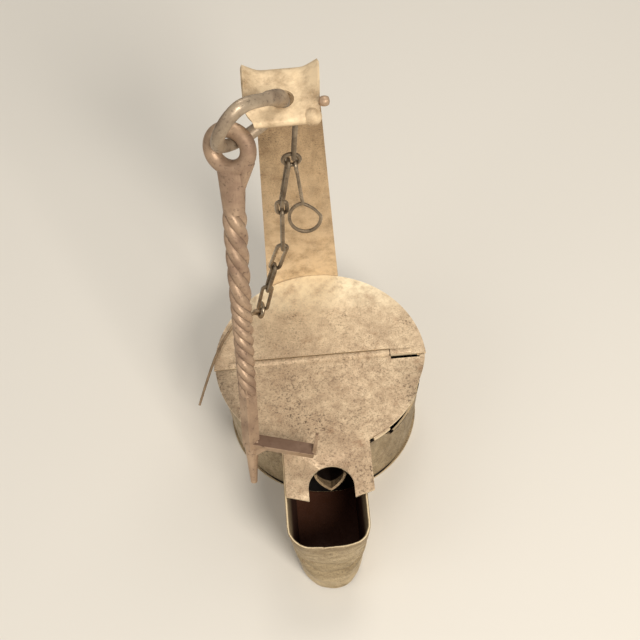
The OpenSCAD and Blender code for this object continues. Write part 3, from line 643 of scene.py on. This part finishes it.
for turn in (0, 90, 180, 270):
    at = Vector((ridge_out * math.cos(math.radians(turn)), ridge_out * math.sin(math.radians(turn)),
                 twist_mid)) * MM
    bpy.ops.object.select_all(action="DESELECT")
    bpy.ops.mesh.primitive_cylinder_add(vertices=28, radius=ridge_radius * MM, depth=twist_length * MM,
                                        location=at)
    bpy.ops.object.transform_apply(location=True, rotation=False, scale=False)
    ridges.append(bpy.context.object)
shank = ridges[0]
shank.name = "hanger_bar"
join_to(shank, *ridges[1:])

# the bar's four rounded ridges taper downwards and are twisted, tighter in the lower half
pick_verts(shank, lambda co: co.z > 60 * MM)
bpy.ops.transform.resize(value=(twist_taper, twist_taper, 1), center_override=(0, 0, twist_end * MM))
bpy.ops.object.mode_set(mode="OBJECT")
pick_edges(shank, lambda a, b: abs(a.z - b.z) > 1 * MM)
bpy.ops.mesh.subdivide(number_cuts=140)
bpy.ops.object.mode_set(mode="OBJECT")
for vert in shank.data.vertices:
    vert.co.xy *= 0.8 + 0.2 * ease(vert.co.z / MM, 17, 26)
for twist, limits in ((-950, (0.0, 1.0)), (-300, (0.5, 1.0))):
    finish_modifier(shank, "SIMPLE_DEFORM", deform_method="TWIST", angle=math.radians(twist),
                    deform_axis="Z", limits=limits)

# the plain square stretch and the spike below the twist, and the neck above it
bpy.ops.object.select_all(action="DESELECT")
bpy.ops.mesh.primitive_cube_add(size=1, location=(0, 0, plain_mid * MM),
                                rotation=(0, 0, math.radians(28)),
                                scale=(plain_width * MM, plain_width * MM, plain_length * MM))
plain = bpy.context.object
bpy.ops.object.transform_apply(location=True, rotation=True, scale=True)
bpy.ops.mesh.primitive_cone_add(vertices=10, radius1=spike_root * MM, radius2=spike_end * MM,
                                depth=spike_length * MM, location=(0, 0, spike_mid * MM))
spike = bpy.context.object
bpy.ops.object.transform_apply(location=True, rotation=False, scale=False)
bpy.ops.mesh.primitive_cone_add(vertices=32, radius1=neck_top * MM, radius2=neck_low * MM,
                                depth=neck_length * MM, location=(0, 0, neck_mid * MM))
neck = bpy.context.object
bpy.ops.object.transform_apply(location=True, rotation=False, scale=False)
pick_verts(neck, lambda co: co.z < neck_mid * MM)
bpy.ops.transform.resize(value=(1, neck_flat, 1), center_override=(0, 0, 0))
bpy.ops.object.mode_set(mode="OBJECT")

# the eye, and the bar's end that is lapped down the right of the neck
bpy.ops.object.select_all(action="DESELECT")
bpy.ops.mesh.primitive_torus_add(major_radius=eye_radius * MM, minor_radius=eye_bar * MM,
                                 major_segments=72, minor_segments=28,
                                 rotation=(math.radians(90), 0, 0))
eye = bpy.context.object
bpy.ops.object.transform_apply(location=False, rotation=True, scale=False)
bpy.ops.mesh.primitive_cone_add(vertices=28, radius1=lap_root * MM, radius2=lap_end * MM,
                                depth=lap_length * MM, location=(lap_side * MM, 0, lap_mid * MM),
                                rotation=(0, math.radians(-14), 0))
lap = bpy.context.object
bpy.ops.object.transform_apply(location=True, rotation=True, scale=False)
join_to(shank, eye, lap, neck, plain, spike)
remesh(shank, 0.25)
finish_modifier(shank, "SMOOTH", factor=0.5, iterations=2)
bpy.ops.object.shade_smooth()
shank.data.transform(frame_at(eye_at * MM, shank_way, eye_face))
dress(shank, "hanger", "hanger_rod", hanger_iron)

# The rivet: a short iron stud through the right edge of the table, its end hammered round. It is
# the hanger's iron, dull and brown.
rivet_sunk = 0.9
rivet = copy_of("edge_rivet")
remesh(rivet, 0.2)
bpy.ops.object.mode_set(mode="EDIT")
bpy.ops.mesh.select_all(action="SELECT")
bpy.ops.transform.tosphere(value=0.7)
bpy.ops.object.mode_set(mode="OBJECT")
finish_modifier(rivet, "SMOOTH", factor=0.5, iterations=10)
bpy.ops.object.shade_smooth()
rivet.data.transform(Matrix.Translation((-rivet_sunk * MM, 0, 0)))
dress(rivet, "lamp", "edge_rivet", hanger_iron)

# The hook arm: a flat bar, thickened at its root and welded to the shank at the fork, with its tip
# turned up and drawn thin. It is the same iron, with painted shade and some dark scale on top.
arm_width, arm_thick, arm_drop = 4.5, 2.9, 0.7
arm_from, arm_to = fork_at - shank_way * 2.0, Vector((-5, -40.8, 45.9))
arm_length = (arm_to - arm_from).length
web_at, web_size = Vector((-1.3, -2.4, 2.2)) * MM, Vector((2.8, 5.0, 5.0)) * MM
tip_at, tip_size = Vector((1.2, 3.7, arm_length)) * MM, Vector((3.4, 9.4, 1.4)) * MM
# the arm: the rod's grey-brown on its sides, a deep brown on its upper face: painted shade, with some dark
# scale
arm_iron = forged_iron("wrought_iron_arm", "#b49a80", "#93795f", "#4b382b", top_shade="#5b4233")
bpy.ops.object.select_all(action="DESELECT")
bpy.ops.mesh.primitive_cube_add(size=1, location=(0, -arm_drop * MM, arm_length / 2 * MM),
                                scale=(arm_width * MM, arm_thick * MM, arm_length * MM))
bpy.ops.object.transform_apply(location=True, rotation=False, scale=True)
arm = bpy.context.object
arm.name = "hook_bar"
bpy.ops.mesh.primitive_cube_add(size=1, location=web_at, scale=web_size,
                                rotation=(math.radians(45), 0, math.radians(-30)))
web = bpy.context.object
bpy.ops.object.transform_apply(location=True, rotation=True, scale=True)
bpy.ops.mesh.primitive_cube_add(size=1, location=tip_at, scale=tip_size,
                                rotation=(0, 0, math.radians(-16)))
hook_tip = bpy.context.object
bpy.ops.object.transform_apply(location=True, rotation=True, scale=True)
pick_verts(hook_tip, lambda co: co.y > 5 * MM)
bpy.ops.transform.resize(value=(0.45, 1, 0.8), center_override=(2.5 * MM, 8 * MM, arm_length * MM))
bpy.ops.object.mode_set(mode="OBJECT")
join_to(arm, web, hook_tip)
remesh(arm, 0.2)
finish_modifier(arm, "SMOOTH", factor=0.5, iterations=6)
bpy.ops.object.shade_smooth()
arm.data.transform(frame_at(arm_from * MM, arm_to - arm_from, Vector((0, 0, 1))))
dress(arm, "hanger", "hook_arm", arm_iron)

# The chain, its staple, the hinge wire and the wick pick: drawn iron wire, bent cold and closed by
# hand. They keep their CAD shapes.
# the chain: dark wire with a brown bloom and small bright glints
chain_iron = forged_iron("drawn_wire_chain", "#a3937d", "#6f604e", "#2c231b", 0.26, 0.85)
for node in (
    "hinge_wire", "chain_staple", "top_link", "small_ring", "upper_long_link", "middle_ring",
    "lower_long_link", "link_one", "link_two", "link_three", "end_ring",
):
    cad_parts[node].material_slots[0].material = chain_iron
# the pick: the same wire, browner and dull
pick_iron = forged_iron("drawn_wire_pick", "#9b8468", "#7a654d", "#3a2d21")
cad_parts["wick_pick"].material_slots[0].material = pick_iron

# The wire loop: one length of the chain's wire with a small eye at its top, bent below into a
# long loop that a finger can pull, straighter on its right side.
wire_radius, loop_radius, loop_mid, loop_stretch = 0.58, 5.3, 26, 1.28
stem_length, stem_mid, loop_eye_radius, loop_eye_mid = 16.4, 11.3, 2.2, 1.375
loop_from, loop_way = Vector((-3.195, 19, 134.964)), Vector((0.0698, -0.1392, -1))
bpy.ops.object.select_all(action="DESELECT")
bpy.ops.mesh.primitive_torus_add(major_radius=loop_radius * MM, minor_radius=wire_radius * MM,
                                 major_segments=72, minor_segments=20, location=(0, 0, loop_mid * MM),
                                 rotation=(math.radians(90), 0, 0))
bpy.ops.object.transform_apply(location=True, rotation=True, scale=False)
loop = bpy.context.object
loop.name = "loop_wire"
for vert in loop.data.vertices:
    side, rise = -vert.co.x, loop_mid * MM - vert.co.z
    straight = 1.0
    if side > 0 and rise > 0:
        straight = 0.4 + 0.6 * math.hypot(side, rise) / (side + rise)
    vert.co.x *= straight
    vert.co.z = loop_mid * MM - loop_stretch * rise * straight
bpy.ops.object.select_all(action="DESELECT")
bpy.ops.mesh.primitive_cylinder_add(vertices=20, radius=wire_radius * MM, depth=stem_length * MM,
                                    location=(0, 0, stem_mid * MM))
stem = bpy.context.object
bpy.ops.object.transform_apply(location=True, rotation=False, scale=False)
bpy.ops.mesh.primitive_torus_add(major_radius=loop_eye_radius * MM, minor_radius=wire_radius * MM,
                                 major_segments=40, minor_segments=20,
                                 location=(0, 0, loop_eye_mid * MM), rotation=(0, math.radians(90), 0))
loop_eye = bpy.context.object
bpy.ops.object.transform_apply(location=True, rotation=True, scale=False)
join_to(loop, stem, loop_eye)
remesh(loop, 0.16)
finish_modifier(loop, "SMOOTH", factor=0.5, iterations=4)
bpy.ops.object.shade_smooth()
loop.data.transform(frame_at(loop_from * MM, loop_way, Vector((0, 1, 0))))
dress(loop, "loop", "wire_loop", chain_iron)
